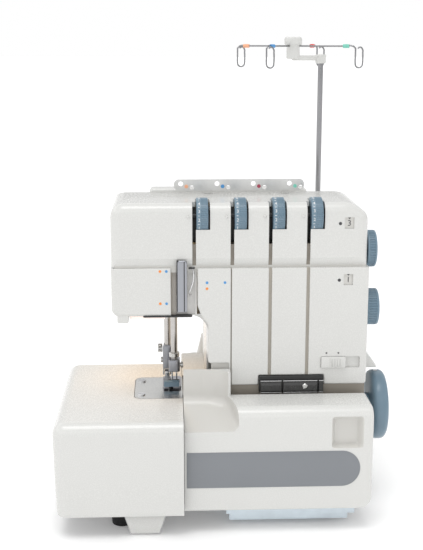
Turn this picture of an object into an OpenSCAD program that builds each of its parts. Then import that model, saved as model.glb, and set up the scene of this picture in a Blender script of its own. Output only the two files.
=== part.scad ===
// Serger overlock machine: four thread household overlocker.
// +Z is up, -Y is the front (operator side), +X is the handwheel side.
// The origin lies on the table surface, in the middle of the machine's plan outline.

/* [Overall] */
// Width over sewing table and handwheel
overall_w = 336.8; // [320:0.1:350]
// Depth from the table front to the back of the spool stand
overall_d = 300; // [280:1:320]
// Height of the upper cover's top
body_h = 317; // [300:1:330]
// Height of the thread guide head
antenna_h = 475; // [440:1:500]
// Height of the sewing surface
bed_z = 117; // [105:1:125]

/* [Covers] */
// Wall thickness of the moulded covers
wall = 2.5; // [2:0.1:3.5]
// Gap between two fixed covers
seam = 0.3; // [0.2:0.05:0.6]
// Width of the slide-off sewing table
table_w = 125.5; // [115:0.5:130]
// Depth of the slide-off sewing table
table_back = 47; // [40:1:50]
// Height of the moulded covers above the table surface
skirt_z = 23; // [20:1:28]
// Front face of the looper cover, measured back from the table front
cover_set = 10; // [6:1:14]
// Height of the looper cover's top
cover_top_z = 127; // [122:1:130]
// Height of the waste chute's upper lip
chute_z = 152; // [145:1:154]
// Left face of the head
head_x = -115.5; // [-118:0.5:-108]
// Underside of the head
head_z = 205; // [200:1:210]
// Lower edge of the upper cover
lip_z = 254; // [250:1:258]
// Left face of the column
column_x = -20.5; // [-24:0.5:-16]
// Right face of the column
column_r = 138; // [134:0.5:139]
// Front face of the column
column_y = -87; // [-89:0.5:-84]
// Front face of the upper cover
top_y = -85; // [-87:0.5:-83]
// Rear face of the machine body
rear_y = 85; // [80:1:88]

/* [Tension dials] */
// Radius of a tension dial
dial_r = 18; // [16:0.5:19]
// Width of a tension dial
dial_w = 11.5; // [10:0.5:13]
// Centre distance of two tension dials
dial_pitch = 37.3; // [35:0.1:39]
// Position of the leftmost tension dial
dial_x = -26; // [-28:0.5:-24]
// Radius of the shaft that carries the tension dials
tension_r = 3; // [2.5:0.1:4]
// Running clearance of every turning or sliding piece, per side
run = 0.05; // [0.02:0.01:0.1]
// Width of the threading slots
slot_w = 3.8; // [3:0.1:4.5]

/* [Side dials] */
// Radius of the two dials on the right
side_r = 18.5; // [16:0.5:20]
// Height of the stitch length dial
length_z = 267.5; // [264:0.5:272]
// Height of the differential feed dial
diff_z = 207.5; // [204:0.5:212]

/* [Drive] */
// Radius of the handwheel
wheel_r = 37; // [32:0.5:38]
// Height of the main shaft
shaft_z = 98; // [94:0.5:100]
// Radius of the main shaft
shaft_r = 6; // [5:0.5:7]
// Radius of the pulley on the main shaft
pulley_r = 30; // [26:1:31]
// Radius of the motor pulley
pinion_r = 9; // [7:0.5:10]
// Radius of the motor body
motor_r = 27; // [24:0.5:28]

/* [Needle and foot] */
// Needle bar position across the machine
needle_x = -54; // [-56:0.5:-53]
// Needle bar position in depth
needle_y = -28; // [-30:0.5:-26]
// Radius of the needle bar and of the presser bar
bar_r = 3.5; // [3:0.1:4]
// Distance of two needles
needle_pitch = 4.6; // [3:0.1:5]
// Radius of a needle
needle_r = 0.8; // [0.6:0.05:1]
// Depth of the needles below the sewing surface
needle_dip = 17; // [12:1:18]

/* [Spool stand] */
// Radius of a spool pin
pin_r = 3; // [2.5:0.1:4]
// Height of a spool pin above the stand
pin_h = 86; // [70:1:100]
// Thickness of the spool stand
stand_h = 19; // [14:1:24]
// Radius of the telescopic rod
rod_r = 3; // [2.5:0.1:3.5]

/* [Output] */
// Piece to draw

/* [Hidden] */
$fn = 96;
xl = -overall_w / 2 - 3.1;
xr = overall_w / 2 - 3.1;
yf = -overall_d / 2;
yb = overall_d / 2;
slab_z = skirt_z - 4;
slab_t = 6;
slab_top = slab_z + slab_t;
table_r = xl + table_w;
cover_l = table_r + 0.6;
cover_r = column_r - 0.6;
cover_y = yf + cover_set;
chute_r = 0;
plate_t = 4;
plate_l = table_r - 49;
plate_y0 = -75;
plate_y1 = -6;
shaft_y = -45;
motor_y = 45;
motor_z = slab_top + motor_r + 15;
belt_x0 = 104;
belt_w = 12;
belt_t = 3;
dial_y = top_y + sqrt(dial_r * dial_r - 100);
dial_z = body_h - 14;
presser_x = needle_x - 7;
presser_y = needle_y + 16;
clamp_z = bed_z + 15;
top_l = head_x;
top_fall = 17;
top_r = column_r - 1;
hinge_y = cover_y + 8;
hinge_z = skirt_z + 7;
hinge_r = 2.5;
stand_z = 80;
stand_top = stand_z + stand_h;
pole_x = 112;
pole_y = 100;
hub_x = 81;
hub_z = antenna_h - 24;
rod_top = hub_z - 5;
tube_top = body_h - 19;
wire_r = 0.9;
leg_r = 0.8;
wire_z = hub_z + 14;
hook_h = 23;
window_x = 113;
window_w = 9;
window_h = 11;
slider_x = 92.2;
slider_z = 157;
slider_w = 24.6;
slider_run = 14;
block_top = 144;
step_z = 157;
pins = [[-12, 122], [32, 106], [80, 122], [143, 122]];
feet_at = [[-107, -110], [100, -99], [-107, 30], [100, 58]];
hooks = [[hub_x - 60, pole_y + 26], [hub_x - 33, pole_y - 38], [hub_x + 32, pole_y + 38], [hub_x + 65, pole_y - 27]];

white = [0.90, 0.90, 0.88];
blue_grey = [0.42, 0.49, 0.55];
steel = [0.72, 0.73, 0.75];
zinc = [0.62, 0.68, 0.74];
dark = [0.12, 0.12, 0.12];
cast = [0.66, 0.67, 0.68];
rubber_c = [0.06, 0.06, 0.06];

// Rectangle with its own radius at each corner: low-left, low-right, high-right, high-left.
module rect4(x0, x1, y0, y1, r) {
  c = [[x0, y0, 1, 1], [x1, y0, -1, 1], [x1, y1, -1, -1], [x0, y1, 1, -1]];
  difference() {
    translate([x0, y0]) square([x1 - x0, y1 - y0]);
    for (i = [0:3]) {
      if (r[i] > 0) {
        translate([c[i][0], c[i][1]]) scale_corner(c[i][2], c[i][3], r[i]);
      }
    }
  }
}

// The waste piece outside one rounded corner.
module scale_corner(sx, sy, r) {
  difference() {
    translate([sx > 0 ? -1 : -r, sy > 0 ? -1 : -r]) square([r + 1, r + 1]);
    translate([sx * r, sy * r]) circle(r = r);
  }
}

// Block between two corners.
module block(x0, x1, y0, y1, z0, z1) {
  translate([x0, y0, z0]) cube([x1 - x0, y1 - y0, z1 - z0]);
}

// Extrusions of a flat profile along X (profile in Y, Z), along Y (profile in X, Z) and along Z.
module along_x(x0, x1) {
  translate([x0, 0, 0]) rotate([90, 0, 90]) linear_extrude(height = x1 - x0) children();
}

module along_y(y0, y1) {
  translate([0, y1, 0]) rotate([90, 0, 0]) linear_extrude(height = y1 - y0) children();
}

module along_z(z0, z1) {
  translate([0, 0, z0]) linear_extrude(height = z1 - z0) children();
}

// Round bars along each axis.
module bar_x(x0, x1, y, z, r) {
  translate([x0, y, z]) rotate([0, 90, 0]) cylinder(h = x1 - x0, r = r);
}

module bar_y(y0, y1, x, z, r) {
  translate([x, y1, z]) rotate([90, 0, 0]) cylinder(h = y1 - y0, r = r);
}

module bar_z(z0, z1, x, y, r) {
  translate([x, y, z0]) cylinder(h = z1 - z0, r = r);
}

// Cast base: floor slab, free arm, shaft posts, looper post, knife guide and hinge brackets.
module base_frame() {
  color(cast) difference() {
    union() {
      along_z(slab_z, slab_top) rect4(xl + 20, table_r, yf + 15, table_back - 5, [10, 0, 0, 10]);
      block(table_r, 132, yf + 38, rear_y - 1, slab_z, slab_top);
      difference() {
        block(-140, table_r, -100, 40, slab_top, bed_z - plate_t);
        block(-136, table_r + 1, -96, 36, slab_top - 1, bed_z - 2 * plate_t);
        block(plate_l + 3, table_r + 1, plate_y0 + 3, plate_y1 - 3, bed_z - 20, bed_z);
      }
      block(18, 26, shaft_y - 14, shaft_y + 14, slab_top, shaft_z + 14);
      block(118, 126, shaft_y - 14, shaft_y + 14, slab_top, shaft_z + 14);
      block(-9, 5, -30, -26, slab_top, 72);
      bar_y(-37, -30, -2, 62, 4);
      bar_y(-26, -19, -2, 50, 4);
      block(-36, -20, -64, -48, 66, 80);
      block(-20, -15, -64, -48, slab_top, 80);
      for (x = [-30, 110]) {
        block(x, x + 6, hinge_y - 4, yf + 42, hinge_z - 3.4, hinge_z + 3.4);
        block(x, x + 6, yf + 38, yf + 46, slab_top, hinge_z);
      }
      along_y(yf + 10, yf + 26) polygon([[-98, 1], [-70, 1], [-64, slab_z], [-104, slab_z]]);
    }
    bar_x(17, 127, shaft_y, shaft_z, shaft_r + run);
    bar_z(65, 81, -28, -56, 4 + run);
    bar_x(-31, 117, hinge_y, hinge_z, hinge_r + run);
    for (y = [-62, -18]) {
      bar_z(bed_z - 3 * plate_t, bed_z, plate_l + 7, y, 2);
    }
  }
}

// Zinc-plated floor plate with a turned-down front edge.
module base_plate() {
  color(zinc) difference() {
    union() {
      block(-1, 117, yf + 32, rear_y - 8, slab_z - 2, slab_z);
      block(-1, 117, yf + 28, yf + 32, 5.5, slab_z);
      block(-4, -1, yf + 28, yf + 32, 12, slab_z);
      block(117, 124, yf + 28, yf + 32, 11, slab_z);
    }
    for (p = feet_at) {
      bar_z(slab_z - 3, slab_z + 1, p[0], p[1], 12.5);
    }
  }
}

// Four rubber feet.
module feet() {
  color(rubber_c) for (p = feet_at) {
    translate([p[0], p[1], 0]) cylinder(h = slab_z - 4, r1 = 10.5, r2 = 12);
    bar_z(slab_z - 4, slab_z, p[0], p[1], 12);
  }
}

// Cast arm: column web, upper beam and the guide block of both bars.
module arm_frame() {
  color(cast) difference() {
    union() {
      along_y(8, 16) polygon([
        [20, slab_top], [96, slab_top], [96, body_h - 17], [head_x + 8, body_h - 17],
        [head_x + 8, lip_z + 8], [20, lip_z + 8]
      ]);
      block(presser_x - 9, needle_x + 8, needle_y - 8, 8, head_z + 5, body_h - 17);
    }
    bar_z(head_z, body_h, needle_x, needle_y, bar_r + run);
    bar_z(head_z, body_h, presser_x, presser_y, bar_r + run);
  }
}

// Outer profile of the upper cover, seen from the side.
module top_profile(t) {
  difference() {
    rect4(top_y + t, rear_y - t, lip_z - (t > 0 ? 1 : 0), body_h - t, [0, 0, 2, 12 - t]);
    polygon([[0, body_h - t], [rear_y + 1, body_h - t - top_fall], [rear_y + 1, body_h + 1], [0, body_h + 1]]);
  }
}

module dial_cuts() {
  for (i = [0:3]) {
    x = dial_x + i * dial_pitch;
    block(x - dial_w / 2 - 0.6, x + dial_w / 2 + 0.6, top_y - 5, dial_y + dial_r, dial_z - 10, body_h + 1);
    block(x - dial_w / 2 - 1.2 - slot_w, x - dial_w / 2 - 0.6, top_y - 1, top_y + 12, lip_z - 1, body_h - 11);
    bar_x(x - dial_w / 2 - 0.6, x + dial_w / 2 + 0.6, dial_y, dial_z, dial_r + 0.6);
  }
}

// Upper cover with the openings of the tension dials and the threading slots.
module top_cover() {
  color(white) difference() {
    union() {
      difference() {
        along_x(top_l, top_r) top_profile(0);
        along_x(top_l + wall, top_r - wall) top_profile(wall);
      }
      block(-78, 86, -5, 16, body_h - wall - 1, body_h + 4);
    }
    dial_cuts();
    block(window_x, window_x + window_w, top_y - 1, top_y + wall + 1, 292, 292 + window_h);
    bar_x(top_r - 5, top_r + 1, -60, length_z, 4 + run);
  }
}

// Left end of the head with its floor.
module face_cover() {
  color(white) difference() {
    union() {
      difference() {
        along_z(head_z, lip_z - seam) rect4(head_x, -57, top_y, rear_y - 5, [7, 0, 0, 7]);
        along_z(head_z + wall, lip_z) rect4(head_x + wall, -56, top_y + wall, rear_y - 5 - wall, [5, 0, 0, 5]);
      }
      block(-58, column_x - seam, 20, rear_y - 5, head_z, head_z + wall);
    }
    block(presser_x - 10, -56, needle_y - 10, 12, head_z - 1, head_z + wall + 1);
    bar_z(head_z - 1, head_z + wall + 1, -88, 12, 10);
  }
}

// Column shell with the stepped lower edge and the threading channels.
module column_cover() {
  color(white) difference() {
    along_z(bed_z, lip_z - seam) rect4(column_x, column_r, column_y, rear_y - 5, [6, 6, 0, 0]);
    along_z(bed_z - 1, lip_z) rect4(column_x + wall, column_r - wall, column_y + 8, rear_y, [0, 0, 0, 0]);
    block(column_x - 1, column_r + 1, column_y - 1, shaft_y + 5, bed_z - 1, 134);
    block(column_x + wall, column_r + 1, shaft_y, rear_y, bed_z - 1, 134);
    block(column_x - 1, 0, column_y - 1, shaft_y + 5, bed_z - 1, step_z);
    block(29, 96, column_y - 1, column_y + 9, bed_z - 1, block_top);
    for (i = [1:3]) {
      x = dial_x + i * dial_pitch - dial_w / 2 - 0.6;
      block(x - slot_w, x, column_y - 1, column_y + 5, bed_z, lip_z);
    }
    block(slider_x - 0.3, slider_x + slider_w + slider_run + 0.3, column_y - 1, column_y + 3, slider_z - 6, slider_z + 6);
    block(window_x, window_x + window_w, column_y - 1, column_y + 2, 236, 236 + window_h);
    bar_x(column_r - 5, column_r + 1, -60, diff_z, 4 + run);
  }
}

// Rear closure of the column, the head and the lower housing.
module rear_cover() {
  color(white) difference() {
    along_y(rear_y - 5 + seam, rear_y) polygon([
      [cover_l, slab_top], [top_r, slab_top], [top_r, lip_z - seam], [head_x, lip_z - seam],
      [head_x, head_z], [column_x, head_z], [column_x, bed_z], [cover_l, bed_z]
    ]);
    for (p = [[0, 60], [120, 60], [0, 230], [120, 230], [-95, 230]]) {
      bar_y(rear_y - 6, rear_y + 1, p[0], p[1], 1.6);
    }
  }
  color(white) difference() {
    for (x = [-74, -59]) {
      block(x, x + 3, rear_y, rear_y + 10, 229, 241);
    }
    bar_x(-80, -50, rear_y + 5, 235, 2);
  }
  color(white) bar_x(-74, -56, rear_y + 5, 235, 2);
}

// Screws of the rear cover.
module cover_screws() {
  color(steel) for (p = [[0, 60], [120, 60], [0, 230], [120, 230], [-95, 230]]) {
    bar_y(rear_y - 4.5, rear_y, p[0], p[1], 1.6);
    bar_y(rear_y, rear_y + 1.6, p[0], p[1], 3.2);
  }
}

// Lower right wall that carries the switch and the inlet.
module side_cover() {
  color(white) difference() {
    union() {
      difference() {
        block(132, 137, -90, rear_y - 5, slab_z + 1, 134 - seam);
        block(131, 138, 54, 70, 72, 95);
      }
      bar_y(53, 71, 134.5, 83.5, 1.5);
    }
    bar_x(131, 138, shaft_y, shaft_z, shaft_r + 2);
  }
}

// Bed insert between the free arm and the column.
module bed_plate() {
  color(white) block(cover_l, column_x, 0, rear_y - 5, bed_z - plate_t, bed_z);
  color(white) block(cover_l, column_x, rear_y - 9, rear_y - 5 + seam, bed_z - 14, bed_z - plate_t);
}

// Steel thread guide strip on the upper cover.
module thread_guide_plate() {
  color(steel) difference() {
    union() {
      along_y(-16, -14.5) rect4(-53, 81, body_h + 3, body_h + 15, [4, 4, 4, 4]);
      for (x = [-36, 60]) {
        block(x, x + 8, -16, -14.5, body_h, body_h + 5);
        block(x, x + 8, -14.5, -6, body_h, body_h + 1.5);
      }
    }
    for (i = [0:3]) {
      bar_y(-17, -13, -46 + i * dial_pitch, body_h + 9, 2.4);
      bar_y(-17, -13, -35 + i * dial_pitch, body_h + 6, 2);
    }
  }
}

// Chrome channel in front of the take-up space.
module needle_thread_guard() {
  color(steel) difference() {
    block(-50, -40, top_y - 4, top_y, 210, 262);
    block(-48.5, -41.5, top_y - 3, top_y + 1, 209, 250);
  }
}

// Dark guide strip below the head.
module face_thread_guide() {
  color(dark) difference() {
    block(-85, -36, top_y + 1, -50, head_z - 2, head_z);
    bar_z(head_z - 3, head_z + 1, -44, -70, 2);
    bar_z(head_z - 3, head_z + 1, -52, -70, 2);
  }
}

// Black guide block below the column panels.
module looper_guide_block() {
  color(dark) difference() {
    block(30, 95, -92, column_y + 8, 127, block_top);
    for (x = [52, 89]) {
      block(x, x + 2, -93, -88, 126, 141);
    }
  }
}

// Needle plate with needle opening and feed slots.
module needle_plate() {
  color(steel) difference() {
    along_z(bed_z - plate_t, bed_z) rect4(plate_l, table_r, plate_y0, plate_y1, [9, 0, 0, 9]);
    block(-59, -49, -31.5, -24.5, bed_z - 5, bed_z + 1);
    block(-65, -60.5, -52.5, -9.5, bed_z - 5, bed_z + 1);
    block(-59, -49, -22.5, -9.5, bed_z - 5, bed_z + 1);
    block(-59, -49, -52.5, -33.5, bed_z - 5, bed_z + 1);
    for (y = [-62, -18]) {
      bar_z(bed_z - 5, bed_z + 1, plate_l + 7, y, 2);
    }
  }
}

module needle_plate_screws() {
  color(steel) for (y = [-62, -18]) {
    difference() {
      bar_z(bed_z, bed_z + 1.2, plate_l + 7, y, 4);
      block(plate_l + 2, plate_l + 12, y - 0.5, y + 0.5, bed_z + 0.6, bed_z + 2);
    }
    bar_z(bed_z - 7, bed_z, plate_l + 7, y, 2);
  }
}

module lower_knife() {
  color(steel) block(table_r + 0.7, table_r + 2.7, -62, -50, slab_top, bed_z - 0.5);
}

module motor() {
  color(dark) bar_x(48, 98, motor_y, motor_z, motor_r);
  color(dark) block(52, 94, motor_y - 18, motor_y + 18, slab_top, motor_z - motor_r / 2);
}

// Loop around both pulleys, grown by t: one arc on each pulley, joined by the two straight runs.
module belt_profile(t) {
  d = sqrt(pow(motor_y - shaft_y, 2) + pow(motor_z - shaft_z, 2));
  a = atan2(motor_z - shaft_z, motor_y - shaft_y);
  b = acos((pulley_r - pinion_r) / d);
  ra = pulley_r + run + t;
  rb = pinion_r + run + t;
  big = [for (i = [0:90]) let (w = b + i * (360 - 2 * b) / 90) [ra * cos(w), ra * sin(w)]];
  small = [for (i = [0:45]) let (w = -b + i * 2 * b / 45) [d + rb * cos(w), rb * sin(w)]];
  translate([shaft_y, shaft_z]) rotate(a) polygon(concat(big, small));
}

module drive_belt() {
  color(rubber_c) along_x(belt_x0 + 2, belt_x0 + belt_w - 2) difference() {
    belt_profile(belt_t);
    belt_profile(0);
  }
}

module lamp() {
  color([1, 0.9, 0.7]) {
    bar_z(222, 240, -88, 12, 6);
    bar_z(240, lip_z + 8, -88, 12, 3);
    translate([-88, 12, 218]) sphere(r = 8);
  }
}

module power_inlet() {
  color(dark) difference() {
    block(137, 147, 48, 76, 38, 60);
    block(141, 148, 51, 73, 41, 57);
  }
  color(steel) for (y = [57, 67]) {
    bar_x(141, 145.5, y, 49, 1.4);
  }
}

module tension_shaft() {
  end = dial_x + 3 * dial_pitch + 12;
  color(steel) {
    bar_x(dial_x - 14, end, dial_y, dial_z, tension_r);
    for (x = [dial_x - 14, end - 3]) {
      block(x, x + 3, dial_y - 5, 8, dial_z - 6, dial_z + 5);
    }
  }
}

module scale_windows() {
  color(dark) block(window_x, window_x + window_w, top_y + 1, top_y + wall, 292, 292 + window_h);
  color(dark) block(window_x, window_x + window_w, column_y + 1, column_y + 2, 236, 236 + window_h);
}

module handwheel_shroud() {
  color(white) along_y(-60, -20) polygon([
    [column_r, 142], [154, 142], [153, 144.5], [141, 161], [column_r, 161]
  ]);
}

// Tray behind the machine.
module spool_stand() {
  color(white) difference() {
    along_z(stand_z, stand_top) rect4(-43, 160, rear_y, yb, [0, 0, 16, 16]);
    bar_z(stand_z + 8, stand_top + 1, pole_x, pole_y, 5);
    for (p = pins) {
      bar_z(stand_z + 6, stand_top + 1, p[0], p[1], pin_r - 0.5);
    }
  }
}

module spool_pins() {
  color(steel) for (p = pins) {
    bar_z(stand_z + 6, stand_top + 31, p[0], p[1], pin_r - 0.5);
    bar_z(stand_top + 31, stand_top + pin_h, p[0], p[1], pin_r);
  }
}

module cone_holders() {
  color(dark) for (p = pins) {
    difference() {
      translate([p[0], p[1], stand_top]) cylinder(h = 30, r1 = 16, r2 = 9);
      bar_z(stand_top - 1, stand_top + 31, p[0], p[1], pin_r - 0.4);
    }
  }
}

module pole_tube() {
  color(steel) difference() {
    bar_z(stand_z + 8, tube_top, pole_x, pole_y, 5);
    bar_z(stand_z + 10, tube_top + 1, pole_x, pole_y, rod_r + run);
  }
}

module pole_rod() {
  color(steel) bar_z(tube_top - 40, rod_top, pole_x, pole_y, rod_r);
}

// Head that carries the four hooks.
module guide_head() {
  color(white) difference() {
    union() {
      bar_z(rod_top, rod_top + 10, pole_x, pole_y, 6);
      block(hub_x, pole_x, pole_y - 4, pole_y + 4, hub_z - 2, hub_z + 4);
      bar_z(hub_z, hub_z + 16, hub_x, pole_y, 7.4);
      bar_z(hub_z + 16, antenna_h, hub_x, pole_y, 9.8);
    }
    for (p = hooks) {
      wire_to(p, 0);
    }
  }
}

// Straight wire from the head to a hook.
module wire_to(p, start) {
  dx = p[0] - hub_x;
  dy = p[1] - pole_y;
  len = sqrt(dx * dx + dy * dy);
  translate([hub_x, pole_y, wire_z]) rotate([0, 0, atan2(dy, dx)]) translate([start, 0, 0])
    rotate([0, 90, 0]) cylinder(h = len - start, r = wire_r, $fn = 32);
}

module hook(p) {
  translate([p[0], p[1], 0]) {
    bar_z(wire_z - hook_h + 4, wire_z + leg_r / 2, 0, 0, leg_r);
    bar_z(wire_z - hook_h + 4, wire_z - 4, 8, 0, leg_r);
    translate([4, 0, wire_z - hook_h + 4]) rotate([-90, 0, 0])
      rotate_extrude(angle = 180, $fn = 48) translate([4, 0]) circle(r = leg_r, $fn = 24);
  }
}

module guide_hooks() {
  color(steel) for (p = hooks) {
    wire_to(p, 3);
    hook(p);
  }
}

module hook_sleeves() {
  color([0.9, 0.6, 0.5]) for (p = hooks) {
    dx = p[0] - hub_x;
    dy = p[1] - pole_y;
    len = sqrt(dx * dx + dy * dy);
    translate([hub_x, pole_y, wire_z]) rotate([0, 0, atan2(dy, dx)]) translate([len - 14, 0, 0])
      rotate([0, 90, 0]) difference() {
        cylinder(h = 7, r = 2, $fn = 32);
        translate([0, 0, -1]) cylinder(h = 9, r = wire_r, $fn = 32);
      }
  }
}

module handwheel() {
  color(blue_grey) difference() {
    union() {
      bar_x(151, xr - 3, shaft_y, shaft_z, wheel_r);
      bar_x(xr - 3, xr, shaft_y, shaft_z, wheel_r - 3);
      bar_x(139, 151, shaft_y, shaft_z, 12);
    }
    bar_x(138, xr - 2, shaft_y, shaft_z, shaft_r);
  }
}

module main_shaft() {
  color(steel) bar_x(10, xr - 2.2, shaft_y, shaft_z, shaft_r);
}

module shaft_pulley() {
  color(steel) difference() {
    bar_x(belt_x0, belt_x0 + belt_w, shaft_y, shaft_z, pulley_r);
    bar_x(belt_x0 - 1, belt_x0 + belt_w + 1, shaft_y, shaft_z, shaft_r);
  }
}

module motor_pulley() {
  color(steel) bar_x(belt_x0, belt_x0 + belt_w, motor_y, motor_z, pinion_r);
  color(steel) bar_x(98.2, belt_x0, motor_y, motor_z, 3);
}

module needle_bar() {
  color(steel) bar_z(clamp_z + 4, body_h - 33, needle_x, needle_y, bar_r);
  color(steel) bar_z(clamp_z + 15, clamp_z + 20, needle_x, needle_y, bar_r + 2);
}

module needle_clamp() {
  color(steel) difference() {
    block(needle_x - 6, needle_x + 6, needle_y - 7, needle_y + 7, clamp_z, clamp_z + 13);
    bar_z(clamp_z + 4, clamp_z + 14, needle_x, needle_y, bar_r);
  }
  color(steel) bar_x(needle_x + 6, needle_x + 9.5, needle_y, clamp_z + 6, 3.3);
}

module needles() {
  color(steel) for (s = [-1, 1]) {
    bar_z(bed_z - needle_dip + 4, clamp_z, needle_x + s * needle_pitch / 2, needle_y, needle_r);
    translate([needle_x + s * needle_pitch / 2, needle_y, bed_z - needle_dip])
      cylinder(h = 4, r1 = 0.1, r2 = needle_r);
  }
}

module upper_looper() {
  color(steel) difference() {
    along_y(-36, -32) union() {
      translate([-2, 62]) circle(r = 7);
      polygon([[-8, 58], [4, 66], [-30, 98], [-45, 106], [-47, 105], [-36, 94]]);
    }
    bar_y(-37, -31, -2, 62, 4 + run);
  }
}

module lower_looper() {
  color(steel) difference() {
    along_y(-24, -20) union() {
      translate([-2, 50]) circle(r = 7);
      polygon([[-8, 46], [4, 54], [-18, 84], [-40, 90], [-41, 88], [-24, 80]]);
    }
    bar_y(-25, -19, -2, 50, 4 + run);
  }
}

module upper_knife() {
  color(steel) {
    block(table_r + 3, table_r + 5, -62, -50, bed_z - 1, bed_z + 18);
    block(table_r + 5, -24, -60, -52, bed_z + 10, bed_z + 18);
    bar_z(58, bed_z + 10, -28, -56, 4);
  }
}

module feed_dogs() {
  color(steel) {
    block(-64.5, -61, -49, -13.5, bed_z - 12, bed_z - 0.1);
    block(-58.5, -49.5, -19.5, -13.5, bed_z - 17, bed_z - 0.1);
    block(-58.5, -49.5, -49, -40.5, bed_z - 17, bed_z - 0.1);
    block(-64.5, -49.5, -19.5, -13.5, bed_z - 17, bed_z - 12);
    block(-64.5, -49.5, -49, -43, bed_z - 17, bed_z - 12);
  }
}

module presser_bar() {
  color(steel) bar_z(clamp_z + 18, body_h - 17, presser_x, presser_y, bar_r);
}

module foot_holder() {
  color(steel) difference() {
    union() {
      block(presser_x - 5, presser_x + 4, presser_y - 5, presser_y + 5, bed_z + 13, bed_z + 39);
      for (x = [presser_x - 5, presser_x + 2.3]) {
        block(x, x + 1.7, presser_y - 4, presser_y + 4, bed_z + 5, bed_z + 13);
      }
      bar_x(presser_x - 5, presser_x + 4, presser_y, bed_z + 9, 1.2);
    }
    bar_z(clamp_z + 18, bed_z + 40, presser_x, presser_y, bar_r);
  }
}

module presser_screw() {
  color(steel) bar_x(presser_x - 11, presser_x - 5, presser_y, bed_z + 35, 4.5);
}

module presser_foot() {
  color(steel) difference() {
    union() {
      block(presser_x - 5, needle_x + 7, needle_y - 18, presser_y + 2, bed_z + 0.3, bed_z + 2.8);
      block(presser_x - 3, presser_x + 2, presser_y - 3.6, presser_y + 2, bed_z + 2.8, bed_z + 9);
      bar_x(presser_x - 3, presser_x + 2, presser_y, bed_z + 9, 3.6);
    }
    block(needle_x - 6, needle_x + 5.5, needle_y - 5, needle_y + 6, bed_z, bed_z + 4);
    bar_x(presser_x - 4, presser_x + 3, presser_y, bed_z + 9, 1.2 + run);
  }
}

module lifter_lever() {
  color(blue_grey) difference() {
    union() {
      bar_x(-70.8, -59.2, rear_y + 5, 235, 4.6);
      block(-70, -60, rear_y + 2, rear_y + 8, 188, 235);
    }
    bar_x(-72, -58, rear_y + 5, 235, 2 + run);
  }
}

module tension_dial(i) {
  x = dial_x + i * dial_pitch;
  color(blue_grey) difference() {
    bar_x(x - dial_w / 2, x + dial_w / 2, dial_y, dial_z, dial_r);
    bar_x(x - dial_w, x + dial_w, dial_y, dial_z, tension_r + run);
  }
}

module tension_dial_1() {
  tension_dial(0);
}

module tension_dial_2() {
  tension_dial(1);
}

module tension_dial_3() {
  tension_dial(2);
}

module tension_dial_4() {
  tension_dial(3);
}

module stitch_length_dial() {
  color(blue_grey) bar_x(top_r + 1, top_r + 10.5, -60, length_z, side_r);
  color(blue_grey) bar_x(top_r - 14, top_r + 1, -60, length_z, 4);
}

module differential_dial() {
  color(blue_grey) bar_x(column_r + 1, column_r + 13.5, -60, diff_z, side_r);
  color(blue_grey) bar_x(column_r - 14, column_r + 1, -60, diff_z, 4);
}

module plate_slider() {
  color(white) block(slider_x, slider_x + slider_w, column_y - 2.5, column_y + 3, slider_z - 5.7, slider_z + 5.7);
}

module cover_hinge_bar() {
  color(steel) bar_x(-38, 124, hinge_y, hinge_z, hinge_r);
}

// Section of the looper cover, seen from the side.
module cover_profile(t) {
  rect4(cover_y + t, -95 + (t > 0 ? 1 : 0), skirt_z + 0.6 + t, cover_top_z - t, [max(6 - t, 0), 0, 0, 12 - t]);
}

// Front cover with the waste chute.
module looper_cover() {
  color(white) difference() {
    union() {
      difference() {
        along_x(cover_l, cover_r) cover_profile(0);
        along_x(cover_l + wall, cover_r - wall) cover_profile(wall);
        block(cover_l - 1, chute_r - wall, cover_y - 1, -80, 105, cover_top_z + 1);
      }
      along_x(cover_l, chute_r) polygon([
        [cover_y + 0.5, 105], [-90.5, 119], [-90.5, chute_z], [-88, chute_z], [-88, 116.5], [cover_y + 1.5, 101.5]
      ]);
      along_x(chute_r - wall, chute_r) polygon([
        [cover_y + 1.5, 101.5], [cover_y + 0.5, 113], [cover_y + 12, 126], [-100, 126.5], [-97, chute_z],
        [-88, chute_z], [-88, 116.5]
      ]);
      block(95, 130, cover_y + wall, cover_y + 10, 84, 120);
      for (x = [-16, 90]) {
        bar_x(x, x + 10, hinge_y, hinge_z, 4.8);
        block(x, x + 10, cover_y + wall - 0.5, hinge_y, hinge_z - 4, hinge_z + 4);
      }
    }
    block(97, 128, cover_y - 1, cover_y + 7, 87, 118);
    bar_x(-50, 150, hinge_y, hinge_z, hinge_r + run);
    for (x = [-38, 102]) {
      block(x, x + 16, cover_y + wall, -110, skirt_z, skirt_z + 12);
    }
    block(xl, cover_r + 1, cover_y + 22, -80, skirt_z, skirt_z + 4);
  }
}

// Slide-off sewing table around the free arm.
module table_shape(t) {
  intersection() {
    along_x(xl + t, table_r + (t > 0 ? 1 : 0))
      rect4(yf + t, table_back - t, skirt_z - (t > 0 ? 1 : 0), bed_z - t, [max(8 - t, 0), 0, 4, 10 - t]);
    along_z(skirt_z - 2, bed_z + 1)
      rect4(xl + t, table_r + 1, yf + t, table_back - t, [14 - t, 0, 0, 14 - t]);
  }
}

module sewing_table() {
  color(white) difference() {
    table_shape(0);
    table_shape(wall);
    block(plate_l - 0.5, table_r + 2, plate_y0 - 0.5, plate_y1 + 0.5, bed_z - 10, bed_z + 1);
  }
}

module power_switch() {
  color(dark) difference() {
    block(130, 141, 54.5, 69.5, 75, 92);
    bar_y(53, 71, 134.5, 83.5, 1.5 + run);
  }
}

// Every name below is one separate piece.

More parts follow.
